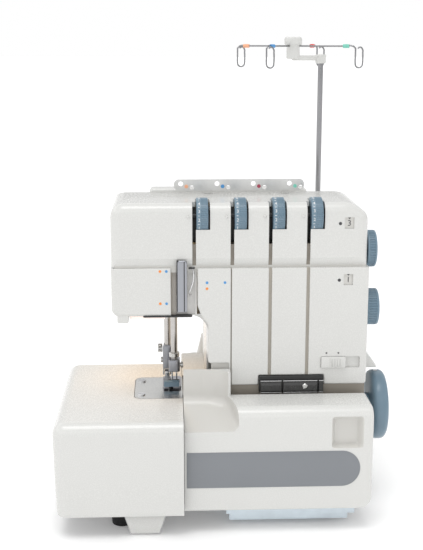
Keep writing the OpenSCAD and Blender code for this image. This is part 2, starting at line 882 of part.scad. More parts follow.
base_frame();
base_plate();
feet();
arm_frame();
top_cover();
face_cover();
column_cover();
rear_cover();
cover_screws();
side_cover();
bed_plate();
thread_guide_plate();
needle_thread_guard();
face_thread_guide();
looper_guide_block();
needle_plate();
needle_plate_screws();
lower_knife();
motor();
drive_belt();
lamp();
power_inlet();
tension_shaft();
scale_windows();
handwheel_shroud();
spool_stand();
spool_pins();
cone_holders();
pole_tube();
pole_rod();
guide_head();
guide_hooks();
hook_sleeves();
handwheel();
main_shaft();
shaft_pulley();
motor_pulley();
needle_bar();
needle_clamp();
needles();
upper_looper();
lower_looper();
upper_knife();
feed_dogs();
presser_bar();
foot_holder();
presser_screw();
presser_foot();
lifter_lever();
tension_dial_1();
tension_dial_2();
tension_dial_3();
tension_dial_4();
stitch_length_dial();
differential_dial();
plate_slider();
cover_hinge_bar();
looper_cover();
sewing_table();
power_switch();
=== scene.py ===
"""Looks of the serger overlock machine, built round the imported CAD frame. Lengths are in mm, scaled by MM."""
import math

import bmesh
import bpy
from mathutils import Matrix, Vector


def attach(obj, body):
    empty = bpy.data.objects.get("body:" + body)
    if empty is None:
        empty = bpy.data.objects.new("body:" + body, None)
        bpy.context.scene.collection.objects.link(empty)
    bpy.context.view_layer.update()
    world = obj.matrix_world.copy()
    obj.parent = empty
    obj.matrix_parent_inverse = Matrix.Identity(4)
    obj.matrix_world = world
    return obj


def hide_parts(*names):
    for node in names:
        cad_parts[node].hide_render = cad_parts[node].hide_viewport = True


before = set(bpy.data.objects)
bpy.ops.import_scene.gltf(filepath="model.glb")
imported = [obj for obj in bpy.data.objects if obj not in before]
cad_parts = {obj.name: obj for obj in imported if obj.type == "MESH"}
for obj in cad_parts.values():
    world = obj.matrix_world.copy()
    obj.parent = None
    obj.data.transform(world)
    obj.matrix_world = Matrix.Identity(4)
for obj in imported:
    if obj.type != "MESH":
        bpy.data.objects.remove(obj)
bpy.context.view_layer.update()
MM = 0.001
AXES = {"x": (1, 2, 0), "y": (0, 2, 1), "z": (0, 1, 2)}


# ---------------------------------------------------------------- materials
def material(name, color, rough=0.4, metal=0.0, coat=0.0, bump=0.02, scale=60.0, vary=0.04, spec=0.5,
             stretch=(1, 1, 1), rough_vary=0.05, grain=1100, emit=None):
    """A Principled material whose colour, roughness and surface vary with two noises in object space."""
    m = bpy.data.materials.new(name)
    m.use_nodes = True
    nt = m.node_tree
    b = nt.nodes["Principled BSDF"]
    b.inputs["Metallic"].default_value = metal
    b.inputs["Specular IOR Level"].default_value = spec
    b.inputs["Coat Weight"].default_value = coat
    b.inputs["Coat Roughness"].default_value = 0.12
    if emit:
        b.inputs["Emission Color"].default_value = (*emit[0], 1)
        b.inputs["Emission Strength"].default_value = emit[1]
    tc = nt.nodes.new("ShaderNodeTexCoord")
    mp = nt.nodes.new("ShaderNodeMapping")
    mp.inputs["Scale"].default_value = stretch
    nt.links.new(tc.outputs["Object"], mp.inputs["Vector"])
    big = nt.nodes.new("ShaderNodeTexNoise")
    big.inputs["Scale"].default_value = scale
    big.inputs["Detail"].default_value = 4
    nt.links.new(mp.outputs["Vector"], big.inputs["Vector"])
    fine = nt.nodes.new("ShaderNodeTexNoise")
    fine.inputs["Scale"].default_value = grain
    fine.inputs["Detail"].default_value = 3
    nt.links.new(mp.outputs["Vector"], fine.inputs["Vector"])
    ramp = nt.nodes.new("ShaderNodeValToRGB")
    ramp.color_ramp.elements[0].position = 0.3
    ramp.color_ramp.elements[1].position = 0.7
    ramp.color_ramp.elements[0].color = (*[c * (1 - vary) for c in color], 1)
    ramp.color_ramp.elements[1].color = (*[min(1, c * (1 + vary)) for c in color], 1)
    nt.links.new(big.outputs["Fac"], ramp.inputs["Fac"])
    nt.links.new(ramp.outputs["Color"], b.inputs["Base Color"])
    rr = nt.nodes.new("ShaderNodeMapRange")
    rr.inputs["To Min"].default_value = max(0.03, rough - rough_vary)
    rr.inputs["To Max"].default_value = min(1, rough + rough_vary)
    nt.links.new(fine.outputs["Fac"], rr.inputs["Value"])
    nt.links.new(rr.outputs["Result"], b.inputs["Roughness"])
    bp = nt.nodes.new("ShaderNodeBump")
    bp.inputs["Strength"].default_value = bump
    bp.inputs["Distance"].default_value = 0.0006
    nt.links.new(fine.outputs["Fac"], bp.inputs["Height"])
    nt.links.new(bp.outputs["Normal"], b.inputs["Normal"])
    return m


WHITE = material("moulded_white", (0.66, 0.66, 0.64), 0.27, coat=0.2, bump=0.02, scale=9, vary=0.01)
# Darker, rougher copy of the body white: painted shade on the waste chute walls, the finger recess, the under-lip seam
# tongues and the column step liner; also used for the scale drums, spool seats and cone holders.
WHITE_DIM_SHADE = material("moulded_white_dim_painted_shade", (0.62, 0.61, 0.58), 0.33, coat=0.15, bump=0.03, scale=9, vary=0.012)
# Brighter than the body white: painted light that lifts the shaded take-up recess liner.
RECESS_LIT = material("recess_white_painted_light", (0.80, 0.79, 0.77), 0.45, bump=0.03, scale=20)
# Grey-beige painted shade for the recess beside the thread guard.
RECESS_GREY_SHADE = material("recess_grey_painted_shade", (0.52, 0.49, 0.45), 0.45, bump=0.04, scale=20)
# Brown-grey painted shade for the backs of the thread slots and the gap under the column.
SLOT_SHADE = material("slot_painted_shade", (0.26, 0.235, 0.20), 0.5, bump=0.04, scale=20)
BLUE = material("moulded_blue_grey", (0.155, 0.235, 0.300), 0.33, coat=0.15, bump=0.05, scale=25, vary=0.03)
STRIPE = material("stripe_grey", (0.205, 0.218, 0.236), 0.34, coat=0.3, bump=0.02, scale=15, vary=0.015)
BLACK = material("moulded_black", (0.018, 0.018, 0.018), 0.42, bump=0.08, scale=60, vary=0.2)
GUARD = material("guard_steel", (0.36, 0.37, 0.40), 0.30, metal=0.9, bump=0.01, scale=20)
POLE = material("pole_chrome", (0.30, 0.30, 0.31), 0.16, metal=1, bump=0.01, scale=20, rough_vary=0.04)
BAR = material("ground_bar", (0.52, 0.50, 0.48), 0.20, metal=1, bump=0.01, scale=20, stretch=(1, 1, 9))
# Beige-grey painted shade for the backs of the column's thread grooves.
GROOVE_SHADE = material("groove_beige_painted_shade", (0.43, 0.40, 0.35), 0.5, bump=0.02, scale=20)
GLOSS = material("gloss_black", (0.02, 0.02, 0.02), 0.16, coat=0.5, bump=0.01, scale=60, vary=0.2)
RUBBER = material("rubber", (0.02, 0.02, 0.021), 0.75, bump=0.25, scale=80, vary=0.25, spec=0.3)
STEEL = material("polished_steel", (0.62, 0.62, 0.61), 0.24, metal=1, bump=0.03, scale=30,
                 stretch=(1, 1, 9))
SHEET = material("sheet_steel", (0.68, 0.68, 0.67), 0.30, metal=1, bump=0.03, scale=20, stretch=(6, 1, 1))
CHROME = material("chrome", (0.80, 0.80, 0.81), 0.10, metal=1, bump=0.01, scale=20, rough_vary=0.04)
ZINC = material("zinc_plate", (0.60, 0.67, 0.72), 0.32, metal=1, bump=0.10, scale=35, vary=0.12)
CAST = material("cast_alloy", (0.50, 0.50, 0.50), 0.55, metal=0.8, bump=0.3, scale=70, vary=0.06)
DARKSTEEL = material("dark_steel", (0.05, 0.05, 0.052), 0.35, metal=0.6, bump=0.05, scale=30)
PRINT = material("print_white", (0.85, 0.85, 0.84), 0.5, vary=0.01)
INK = material("print_dark", (0.05, 0.05, 0.055), 0.5, vary=0.05)
ORANGE = material("mark_orange", (0.85, 0.28, 0.05), 0.45, vary=0.03)
SKY = material("mark_blue", (0.08, 0.30, 0.62), 0.45, vary=0.03)
PEACH = material("mark_peach", (0.85, 0.42, 0.25), 0.45, vary=0.03)
MAROON = material("mark_maroon", (0.40, 0.06, 0.10), 0.45, vary=0.03)
MINT = material("mark_mint", (0.20, 0.60, 0.48), 0.45, vary=0.03)
RED = material("mark_red", (0.70, 0.07, 0.06), 0.45, vary=0.03)
LENS = material("lamp_lens", (0.9, 0.8, 0.76), 0.35, emit=((1.0, 0.80, 0.72), 0.35))
GLOW = material("lamp_glass", (1.0, 0.86, 0.62), 0.3, emit=((1.0, 0.72, 0.40), 6.0))


# ---------------------------------------------------------------- mesh helpers
def new_object(name, bm, mats, smooth=38):
    me = bpy.data.meshes.new(name)
    bmesh.ops.recalc_face_normals(bm, faces=bm.faces)
    bm.to_mesh(me)
    bm.free()
    for m in mats if isinstance(mats, (list, tuple)) else [mats]:
        me.materials.append(m)
    ob = bpy.data.objects.new(name, me)
    bpy.context.scene.collection.objects.link(ob)
    soften(ob, smooth)
    return ob


def soften(ob, angle=38):
    me = ob.data
    for p in me.polygons:
        p.use_smooth = True
    me.set_sharp_from_angle(angle=math.radians(angle))


def rounded(points, seg=7):
    """Corner-rounded polygon from (u, v, radius) corners."""
    out = []
    n = len(points)
    for i, p in enumerate(points):
        u, v = p[0], p[1]
        r = p[2] if len(p) > 2 else 0
        if r <= 0:
            out.append((u, v))
            continue
        a = Vector(points[i - 1][:2]) - Vector((u, v))
        b = Vector(points[(i + 1) % n][:2]) - Vector((u, v))
        a.normalize()
        b.normalize()
        half = a.angle(b) / 2
        t = r / math.tan(half)
        c = Vector((u, v)) + (a + b).normalized() * (r / math.sin(half))
        s = Vector((u, v)) + a * t - c
        e = Vector((u, v)) + b * t - c
        turn = s.angle_signed(e)
        for k in range(seg + 1):
            w = -turn * k / seg
            out.append((c.x + s.x * math.cos(w) - s.y * math.sin(w),
                        c.y + s.x * math.sin(w) + s.y * math.cos(w)))
    return out


def to_xyz(axis, u, v, w):
    i, j, k = AXES[axis]
    p = [0, 0, 0]
    p[i], p[j], p[k] = u * MM, v * MM, w * MM
    return p


def prism(name, outline, axis, a, b, mats, rim_a=0, rim_b=0, seg=5, smooth=38):
    """Outline extruded along an axis from a to b, with its two rims rounded."""
    bm = bmesh.new()
    va = [bm.verts.new(to_xyz(axis, u, v, a)) for u, v in outline]
    vb = [bm.verts.new(to_xyz(axis, u, v, b)) for u, v in outline]
    fa = bm.faces.new(va)
    fb = bm.faces.new(list(reversed(vb)))
    for i in range(len(va)):
        j = (i + 1) % len(va)
        bm.faces.new([va[i], vb[i], vb[j], va[j]])
    bmesh.ops.recalc_face_normals(bm, faces=bm.faces)
    for face, r in ((fa, rim_a), (fb, rim_b)):
        if r > 0:
            bmesh.ops.bevel(bm, geom=list(face.edges), offset=r * MM, segments=seg, profile=0.5,
                            affect="EDGES", clamp_overlap=False)
    bmesh.ops.triangulate(bm, faces=[f for f in bm.faces if len(f.verts) > 4])
    return new_object(name, bm, mats, smooth)


def box(name, x0, x1, y0, y1, z0, z1, mats, r=0.0, seg=2):
    bm = bmesh.new()
    bmesh.ops.create_cube(bm, size=1)
    for v in bm.verts:
        v.co = Vector(((x0 + x1) / 2 + v.co.x * (x1 - x0), (y0 + y1) / 2 + v.co.y * (y1 - y0),
                       (z0 + z1) / 2 + v.co.z * (z1 - z0))) * MM
    if r > 0:
        bmesh.ops.bevel(bm, geom=list(bm.edges), offset=r * MM, segments=seg, profile=0.5, affect="EDGES")
    return new_object(name, bm, mats)


def lathe(name, profile, axis, centre, mats, n=64, smooth=38):
    """Closed profile of (radius, position) pairs turned about an axis; centre gives the two other places."""
    bm = bmesh.new()
    rings = []
    for r, h in profile:
        ring = []
        for k in range(n):
            w = 2 * math.pi * k / n
            ring.append(bm.verts.new(to_xyz(axis, centre[0] + r * math.cos(w), centre[1] + r * math.sin(w),
                                            h)))
        rings.append(ring)
    for p, q in zip(rings, rings[1:]):
        for k in range(n):
            j = (k + 1) % n
            bm.faces.new([p[k], p[j], q[j], q[k]])
    bm.faces.new(list(reversed(rings[0])))
    bm.faces.new(rings[-1])
    bmesh.ops.remove_doubles(bm, verts=bm.verts, dist=1e-7)
    return new_object(name, bm, mats, smooth)


def loft(name, sections, mats, smooth=38):
    """Skin through closed sections of (x, y, z) points, capped at both ends."""
    bm = bmesh.new()
    rows = [[bm.verts.new(Vector(p) * MM) for p in s] for s in sections]
    for p, q in zip(rows, rows[1:]):
        for k in range(len(p)):
            j = (k + 1) % len(p)
            bm.faces.new([p[k], p[j], q[j], q[k]])
    bm.faces.new(list(reversed(rows[0])))
    bm.faces.new(rows[-1])
    return new_object(name, bm, mats, smooth)


def wire(name, points, r, mats, seg=6, smooth_line=True):
    """Round wire through points."""
    cu = bpy.data.curves.new(name, "CURVE")
    cu.dimensions = "3D"
    cu.bevel_depth = r * MM
    cu.bevel_resolution = 4
    cu.use_fill_caps = True
    cu.resolution_u = seg
    if smooth_line:
        sp = cu.splines.new("BEZIER")
        sp.bezier_points.add(len(points) - 1)
        for bp, p in zip(sp.bezier_points, points):
            bp.co = Vector(p) * MM
            bp.handle_left_type = bp.handle_right_type = "AUTO"
    else:
        sp = cu.splines.new("POLY")
        sp.points.add(len(points) - 1)
        for q, p in zip(sp.points, points):
            q.co = (*(Vector(p) * MM), 1)
    ob = bpy.data.objects.new(name + "_curve", cu)
    bpy.context.scene.collection.objects.link(ob)
    return to_mesh(ob, name, mats)


def label(name, text, size, matrix, mats, depth=0.15):
    """Raised numeral: the text stands in the XY plane of matrix."""
    cu = bpy.data.curves.new(name, "FONT")
    cu.body = text
    cu.size = size * MM
    cu.extrude = depth * MM
    cu.align_x = "CENTER"
    cu.align_y = "CENTER"
    cu.resolution_u = 3
    ob = bpy.data.objects.new(name + "_curve", cu)
    ob.matrix_world = matrix
    bpy.context.scene.collection.objects.link(ob)
    return to_mesh(ob, name, mats)


def to_mesh(ob, name, mats):
    bpy.context.view_layer.update()
    me = bpy.data.meshes.new_from_object(ob.evaluated_get(bpy.context.evaluated_depsgraph_get()))
    me.transform(ob.matrix_world)
    me.name = name
    me.materials.clear()
    for m in mats if isinstance(mats, (list, tuple)) else [mats]:
        me.materials.append(m)
    bpy.data.objects.remove(ob)
    out = bpy.data.objects.new(name, me)
    bpy.context.scene.collection.objects.link(out)
    soften(out)
    return out


def cut(ob, *cutters, op="DIFFERENCE", smooth=38):
    """Boolean of ob with each cutter; the cutters are removed."""
    for c in cutters:
        mod = ob.modifiers.new("cut", "BOOLEAN")
        mod.operation = op
        mod.solver = "EXACT"
        mod.object = c
        mod.material_mode = "TRANSFER"
        bpy.context.view_layer.update()
        me = bpy.data.meshes.new_from_object(ob.evaluated_get(bpy.context.evaluated_depsgraph_get()))
        ob.modifiers.clear()
        old = ob.data
        ob.data = me
        bpy.data.meshes.remove(old)
        bpy.data.objects.remove(c)
    soften(ob, smooth)
    return ob


def edge(ob, width=0.5, angle=40, seg=2):
    """Small rounding of every sharp edge, with weighted normals, as live modifiers."""
    mod = ob.modifiers.new("edge", "BEVEL")
    mod.width = width * MM
    mod.segments = seg
    mod.limit_method = "ANGLE"
    mod.angle_limit = math.radians(angle)
    mod.use_clamp_overlap = True
    mod.miter_outer = "MITER_ARC"
    wn = ob.modifiers.new("normals", "WEIGHTED_NORMAL")
    wn.keep_sharp = True
    wn.weight = 80
    return ob


def join(name, obs):
    """One mesh from several, each keeping its materials."""
    first = obs[0]
    with bpy.context.temp_override(active_object=first, selected_editable_objects=obs, selected_objects=obs,
                                   object=first):
        bpy.ops.object.join()
    first.name = name
    first.data.name = name
    return first


def place(ob, body, slot, *nodes):
    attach(ob, body)
    if nodes:
        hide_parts(*nodes)
    return ob


# ---------------------------------------------------------------- sewing table
XL, YF = -171.5, -150.0
BED, SKIRT = 117.0, 23.0
TABLE_R, COVER_Y = -46.0, -140.0


def taper_front(ob, y_max, z_break, slope):
    """Lower part of a front face leans back below z_break."""
    bm = bmesh.new()
    bm.from_mesh(ob.data)
    geom = list(bm.verts) + list(bm.edges) + list(bm.faces)
    bmesh.ops.bisect_plane(bm, geom=geom, plane_co=(0, 0, z_break * MM), plane_no=(0, 0, 1))
    for v in bm.verts:
        if v.co.z < z_break * MM and v.co.y < y_max * MM:
            v.co.y += (z_break * MM - v.co.z) * slope
    bm.to_mesh(ob.data)
    bm.free()


table = prism("sewing_table_shell", rounded([(-169.3, SKIRT - 8, 12.5), (-30, SKIRT - 8), (-30, BED),
                                             (XL, BED, 12.5)], 9),
              "y", YF, 47, WHITE, 12, 5, 8)
cut(table,
    prism("c", rounded([(-166.5, SKIRT - 12, 0), (-20, SKIRT - 12, 0), (-20, BED - 2.5, 0),
                        (-166.5, BED - 2.5, 9)]), "y",
          YF + 2.6, 44.5, WHITE, 8, 3, 5),
    box("c", TABLE_R, 0, YF - 5, 60, 0, 140, WHITE), box("c", -200, 0, -170, 60, 0, SKIRT, WHITE),
    prism("c", rounded([(-95.5, -75.5, 9), (-30, -75.5), (-30, -5.5), (-95.5, -5.5, 9)]), "z", 90, 130,
          WHITE))
taper_front(table, YF + 12, 63, 0.03)
edge(table, 0.6)
place(table, "table", "white_plastic", "sewing_table")

# ---------------------------------------------------------------- looper cover
COVER_R, COVER_TOP = 137.4, 127.0
cover = prism("looper_cover_shell", rounded([(COVER_Y, 23.6, 2), (COVER_Y, COVER_TOP, 12), (-95, COVER_TOP),
                                             (-95, 23.6)], 9),
              "x", -60, COVER_R, WHITE, 0, 3.5, 6)
cut(cover, prism("c", rounded([(-80, 23.6), (COVER_R, 23.6, 14), (COVER_R, 140), (-80, 140)], 9), "y", -150,
                 -80, WHITE),
    op="INTERSECT")
inside = rounded([(-137.5, 26.1), (-137.5, 124.5, 9.5), (-88, 124.5), (-88, 26.1)])
cut(cover,
    prism("c", inside, "x", 14, 92, WHITE), box("c", 91, 134.9, -130, -88, 26.1, 122, WHITE),
    box("c", 91, 134.9, -137.5, -88, 26.1, 82, WHITE), box("c", -42.9, 15, -137.5, -88, 26.1, 95, WHITE),
    box("c", -44.9, 138, -118, -90, 20, 27, WHITE), box("c", -38, -22, -137.6, -110, 20, 36, WHITE),
    box("c", 102, 118, -137.6, -110, 20, 36, WHITE))
cut(cover, box("c", -60, 1.2, -101, -88.2, 110, 152, WHITE, 0.9, 3), op="UNION")


def chute_air():
    """Air of the waste chute: sloping floor, upright back wall and a slanted right wall, with fillets between."""
    corners = [(-60, -150, 102.2), (8.8, -150, 102.2), (-0.8, -98, 116.8), (-20, -90.2, 119),
               (-60, -90.2, 119)]
    bm = bmesh.new()
    low = [bm.verts.new(Vector(p) * MM) for p in corners]
    high = [bm.verts.new(Vector((p[0], p[1], 185)) * MM) for p in corners]
    bm.faces.new(list(reversed(low)))
    bm.faces.new(high)
    for i in range(5):
        j = (i + 1) % 5
        bm.faces.new([low[i], low[j], high[j], high[i]])
    bmesh.ops.triangulate(bm, faces=[f for f in bm.faces if len(f.verts) > 4 and f.normal.z < 0])
    bm.edges.ensure_lookup_table()
    rims = [e for e in bm.edges if {e.verts[0], e.verts[1]} in
            ({low[1], low[2]}, {low[2], low[3]}, {low[3], low[4]}, {low[2], high[2]}, {low[3], high[3]})]
    bmesh.ops.bevel(bm, geom=rims, offset=7.5 * MM, segments=8, profile=0.5, affect="EDGES",
                    clamp_overlap=False)
    bmesh.ops.triangulate(bm, faces=[f for f in bm.faces if len(f.verts) > 4])
    return new_object("c", bm, WHITE_DIM_SHADE)


def pocket_section(u):
    """Rounded rectangle of the finger recess at a share u of the way from rim to floor."""
    y = -140 + 7.6 * (1 - math.cos(math.pi * u)) / 2 if u > 0 else -140.6
    x0, x1, z0, z1 = 96.4 + 4.4 * u, 128.2 - 6.6 * u, 86.4 + 2.4 * u, 119.6 - 6.0 * u
    return [(x, y, z) for x, z in rounded([(x0, z0, 2.6), (x1, z0, 2.6), (x1, z1, 2.6), (x0, z1, 2.6)], 5)]


# The chute and finger-recess cutters carry the darker white, which the boolean transfers onto the hollow walls as
# painted shade.
cut(cover, chute_air(), loft("c", [pocket_section(k / 10) for k in range(11)], WHITE_DIM_SHADE),
    box("c", -90, -45.4, -160, -60, 0, 160, WHITE), smooth=30)
edge(cover, 0.9)
knuckles = [lathe("k", [(2.6, x), (4.8, x), (4.8, x + 10), (2.6, x + 10)], "x", (-132, 30), WHITE,
                  32) for x in (-16, 90)]
webs = [box("w", x, x + 10, -138, -134.7, 26.4, 33.8, WHITE) for x in (-16, 90)]
stripe = prism("cover_stripe",
               rounded([(-43.2, 47.8, 0.6), (125.0, 47.8, 18), (125.0, 84.2, 18), (-43.2, 84.2, 0.6)], 14),
               "y", -140.35, -139.8, STRIPE, 0.15, 0, 2)
for piece in (cover, *knuckles, *webs):
    place(piece, "front_cover", "white_plastic")
for i, k in enumerate(knuckles):
    k.name = f"cover_knuckle_{i + 1}"
for i, k in enumerate(webs):
    k.name = f"cover_web_{i + 1}"
place(stripe, "front_cover", "blue_plastic")
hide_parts("looper_cover")

# ---------------------------------------------------------------- upper cover
DIALS = [-26 + 37.3 * i for i in range(4)]
DIAL_Y, DIAL_Z, DIAL_R = -85 + math.sqrt(18 * 18 - 100), 303.0, 18.0
top = prism("upper_cover_shell",
            rounded([(-115.5, 246), (137, 246), (137, 305.5, 12), (119, 317, 26), (-115.5, 317, 14)], 10),
            "y", -85, 85, WHITE, 10, 10, 9)
inner = prism("c", [(-82, 240), (82, 240), (82, 296), (0, 313.5), (-66, 313.5), (-78, 309), (-82, 303)],
              "x", -102, 120, WHITE)
slopecut = prism("c", [(0, 317.01), (90, 299), (90, 330), (0, 330)], "x", -130, 160, WHITE)
cut(top, slopecut, inner, box("c", -130, 160, -100, 100, 230, 254, WHITE))
bevel_cut = prism("c", [(-90, 263.3), (-85, 263.3), (-81.6, 254), (-81.6, 250), (-90, 250)], "x", -130, 160,
                  WHITE)
cut(top, bevel_cut)
for x in DIALS:
    cut(top, prism("c", rounded([(x - 6.35, 292.2, 0.5), (x + 7.6, 292.2, 0.5), (x + 7.6, 340),
                                 (x - 6.35, 340)]), "y", -100,
                   -51.4, WHITE),
        lathe("c", [(0.1, x - 6.35), (18.7, x - 6.35), (18.7, x + 7.6), (0.1, x + 7.6)], "x",
              (DIAL_Y, DIAL_Z), WHITE, 96),
        box("c", x - 9.8, x - 6.2, -100, -70, 250, 340, WHITE))
cut(top, box("c", 113, 122, -100, -82.0, 292, 303, WHITE), smooth=17)
edge(top, 0.6, 28)
place(top, "machine", "white_plastic", "top_cover")
platform = prism("upper_cover_platform",
                 rounded([(-78, 310, 0), (86, 310, 0), (86, 321, 5), (-78, 321, 4)]), "y", -4, 16,
                 WHITE, 2.5, 2.5, 4)
place(platform, "machine", "white_plastic")

for i, x in enumerate(DIALS):
    # Brown-grey strip at the back of each thread slot under the lip: painted shade.
    back = box(f"slot_floor_shade_{i + 1}", x - 9.9, x - 6.1, -82.2, -80, 254.5, 277, SLOT_SHADE)
    place(back, "machine", "black_plastic")
    # Black strips deep in each thread slot and in the gap beside each dial: painted shade.
    shade = box(f"slot_depth_shade_{i + 1}", x - 9.9, x - 6.1, -72, -70.5, 277, 311, BLACK)
    place(shade, "machine", "black_plastic")
    gap = box(f"dial_gap_shade_{i + 1}", x + 6.2, x + 7.7, -80, -60, 288, 311, BLACK)
    place(gap, "machine", "black_plastic")
    pearl = lathe(f"thread_pearl_{i + 1}", [(0.1, -86.3), (1.1, -86.0), (1.5, -85.3), (1.5, -84.4),
                                            (0.1, -84.4)], "y",
                  (x - 13.8, 304.5), WHITE, 24)
    place(pearl, "machine", "white_plastic")
# Seam tongues under the cover's lip in the darker white: painted shade along the lip.
seam = prism("seam_tongue", rounded([(-82.4, 249), (-80.4, 249), (-80.4, 256), (-82.4, 256)]), "x", -112,
             135, WHITE_DIM_SHADE)
place(seam, "machine", "white_plastic")
seam_l = box("seam_tongue_left", -112.9, -111.4, -80, 78, 249, 257, WHITE_DIM_SHADE)
place(seam_l, "machine", "white_plastic")


# ---------------------------------------------------------------- dials
def ribbed_wheel(name, axis, centre, a, b, r, ribs, depth, rib_a, rib_b, mats, body, node, edge_r=0.8):
    """A wheel with fine ribs between rib_a and rib_b along its axis."""
    bm = bmesh.new()
    n = ribs * 4
    stations = [(a, r - edge_r, 0), (a + edge_r * 0.3, r - edge_r * 0.3, 0), (a + edge_r, r, 0),
                (rib_a, r, 0), (rib_a + 0.3, r, 1), (rib_b - 0.3, r, 1), (rib_b, r, 0), (b - edge_r, r, 0),
                (b - edge_r * 0.3, r - edge_r * 0.3, 0), (b, r - edge_r, 0)]
    rings = []
    for h, rad, ribbed in stations:
        ring = []
        for k in range(n):
            w = 2 * math.pi * k / n
            q = rad - (depth if ribbed and k % 4 in (1, 2) else 0)
            ring.append(bm.verts.new(to_xyz(axis, centre[0] + q * math.cos(w), centre[1] + q * math.sin(w),
                                            h)))
        rings.append(ring)
    for p, q in zip(rings, rings[1:]):
        for k in range(n):
            bm.faces.new([p[k], p[(k + 1) % n], q[(k + 1) % n], q[k]])
    bm.faces.new(list(reversed(rings[0])))
    bm.faces.new(rings[-1])
    ob = new_object(name, bm, mats, 30)
    return place(ob, body, "blue_plastic", node)


def rim_matrix(x, angle, r, y, z):
    """Frame whose Z axis points out of a wheel's rim at angle, whose X axis is +X."""
    out = Vector((0, math.cos(angle), math.sin(angle)))
    right = Vector((1, 0, 0))
    up = out.cross(right)
    m = Matrix((right, up, out)).transposed().to_4x4()
    m.translation = (Vector((x, y, z)) + out * r) * MM
    return m


for i, x in enumerate(DIALS):
    ribbed_wheel(f"tension_wheel_{i + 1}", "x", (DIAL_Y, DIAL_Z), x - 5.75, x + 5.75, DIAL_R, 60, 0.45,
                 x - 1.2, x + 5.0, BLUE, f"dial_{i + 1}", f"tension_dial_{i + 1}")
    marks = []
    for k in range(10):
        ang = math.radians(152 - (k - 3.2) * 27)
        marks.append(label(f"m{k}", str(k), 4.4, rim_matrix(x - 3.1, ang, DIAL_R, DIAL_Y, DIAL_Z), PRINT,
                           0.08))
        half = math.radians(152 - (k - 2.7) * 27)
        tick = box("t", -0.8, 0.8, -0.25, 0.25, -0.08, 0.08, PRINT)
        tick.data.transform(rim_matrix(x - 3.4, half, DIAL_R, DIAL_Y, DIAL_Z))
        marks.append(tick)
    place(join(f"tension_scale_{i + 1}", marks), f"dial_{i + 1}", "white_plastic")

ribbed_wheel("stitch_length_wheel", "x", (-60, 267.5), 138, 147.5, 18.5, 44, 0.8, 140, 145.5, BLUE,
              "length_dial", "stitch_length_dial", 1.2)
ribbed_wheel("differential_wheel", "x", (-60, 207.5), 139, 151.5, 18.5, 44, 0.8, 141, 149, BLUE,
              "diff_dial", "differential_dial", 1.2)

# ---------------------------------------------------------------- handwheel
wheel = lathe("handwheel_body",
              [(6.05, 139), (12, 139), (12, 149), (31.5, 149.2), (34.4, 150.2), (35.8, 152.2), (36.2, 155),
               (36.2, 159.4),
               (35.7, 161.6), (34.6, 163.4), (32.8, 164.6), (30.5, 165.1), (27.5, 165.2), (24, 164.4),
               (22, 162.8), (14, 162.4), (12.5, 163.4), (6.05, 163.5)], "x", (-45, 98), BLUE, 96)
place(wheel, "handwheel_shaft", "blue_plastic", "handwheel")
cap = lathe("handwheel_cap", [(0.2, 165.0), (4.8, 164.9), (5.9, 164.2), (5.9, 163.1), (0.2, 163.1)], "x",
            (-45, 98), BLUE, 48)
place(cap, "handwheel_shaft", "blue_plastic")
mark = box("handwheel_mark", 153.5, 157.5, -46, -44, 134.8, 135.1, PRINT, 0.05)
place(mark, "handwheel_shaft", "white_plastic")

# ---------------------------------------------------------------- column
column = prism("column_shell",
               rounded([(-31, 262), (-31, 216, 6), (-27, 205, 8), (-20.5, 197, 8), (-20.5, 157, 2.5),
                        (0, 157, 1.2),
                        (0, 134, 4), (30, 134, 2), (30, 144, 0.8), (95, 144, 0.8), (95, 134, 2),
                        (138, 134, 3), (138, 262)], 5),
               "y", -87, -79, WHITE, 1.7, 0, 5)
cut(column, box("c", -60, 160, -100, -60, 253.7, 280, WHITE))
# Each thread groove gets a beige-grey strip at its back: painted shade in the groove.
for i in (1, 2, 3):
    x = DIALS[i]
    w = 1.3 if i == 1 else 3.4
    cut(column, box("c", x - 9.7, x - 9.7 + w, -95, -82.2, 120, 262, WHITE))
    strip_g = box(f"column_groove_shade_{i}", x - 9.8, x - 9.6 + w, -84.8, -83, 134.5, 253.5, GROOVE_SHADE)
    place(strip_g, "machine", "white_plastic")
cut(column, prism("c", rounded([(91.9, 151, 1.5), (131.2, 151, 1.5), (131.2, 163, 1.5), (91.9, 163, 1.5)]),
                  "y", -100, -84, WHITE),
    box("c", 113, 122, -100, -85, 236, 247, WHITE))
edge(column, 0.5)
place(column, "machine", "white_plastic", "column_cover")
left_wall = prism("column_left_wall",
                  rounded([(-79, 157, 1), (-40, 157, 6), (-40, 117, 0), (80, 117, 0), (80, 253.7, 0),
                           (-79, 253.7, 0)]),
                  "x", -20.5, -18, WHITE, 0.4, 0.2, 2)
place(left_wall, "machine", "white_plastic")
right_wall = prism("column_right_wall",
                   rounded([(-79, 134, 1), (80, 134, 0.5), (80, 253.7, 0.5), (-79, 253.7, 0.5)]),
                   "x", 135.5, 138, WHITE, 0.2, 0.4, 2)
place(right_wall, "machine", "white_plastic")
arc = [(-38 + 17.5 * math.cos(math.radians(w)), 187.5 + 17.5 * math.sin(math.radians(w))) for w in range(90,
    -1, -6)]
arch = prism("throat_fillet", [(-20.4, 206), (-40, 206), (-40, 205)] + arc, "y", -78.8, 79, WHITE)
place(arch, "machine", "white_plastic")

